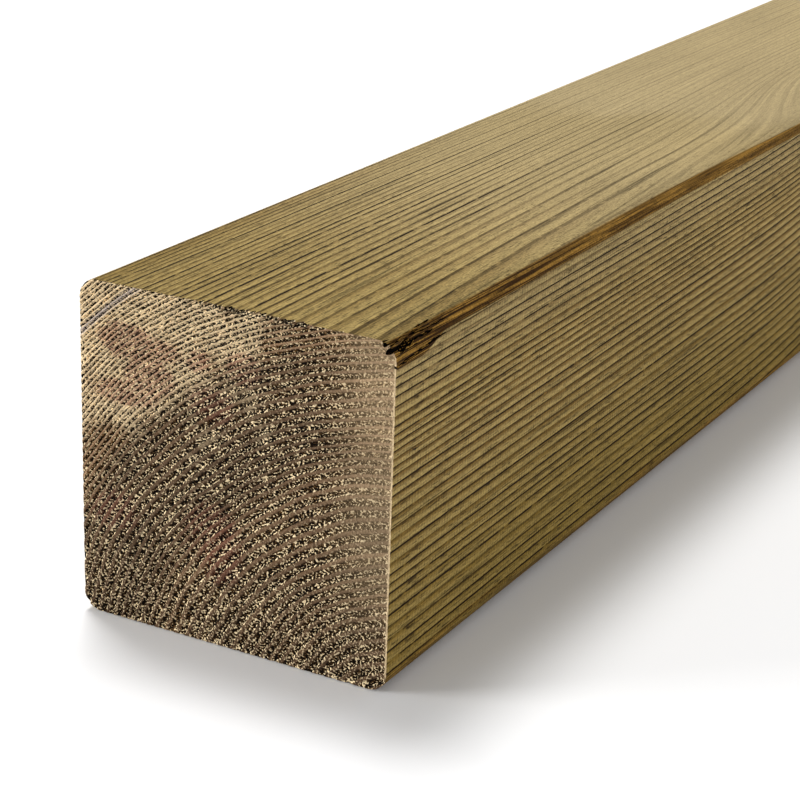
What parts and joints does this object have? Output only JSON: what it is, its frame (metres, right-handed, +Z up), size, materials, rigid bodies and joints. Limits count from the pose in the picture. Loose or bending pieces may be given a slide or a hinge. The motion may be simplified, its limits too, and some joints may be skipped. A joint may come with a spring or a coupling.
{
  "type": "wooden post",
  "caption": "Square planed softwood post with softly rounded arrises and sawn ends, growth rings standing in relief on one end and a torn arris beside it.",
  "frame": {"origin": "on the floor under the middle of the post, which lies on one long face", "axes": "+Y along the post, from the sawn end with the ring relief to the plain end; +X to the right when looking along +Y; +Z up"},
  "size_m": [0.09, 1.2, 0.09],
  "materials": {
    "treated_softwood": "planed and pressure treated, greenish brown, unpainted"
  },
  "bodies": {
    "root": {"post": "treated_softwood"}
  },
  "joints": []
}
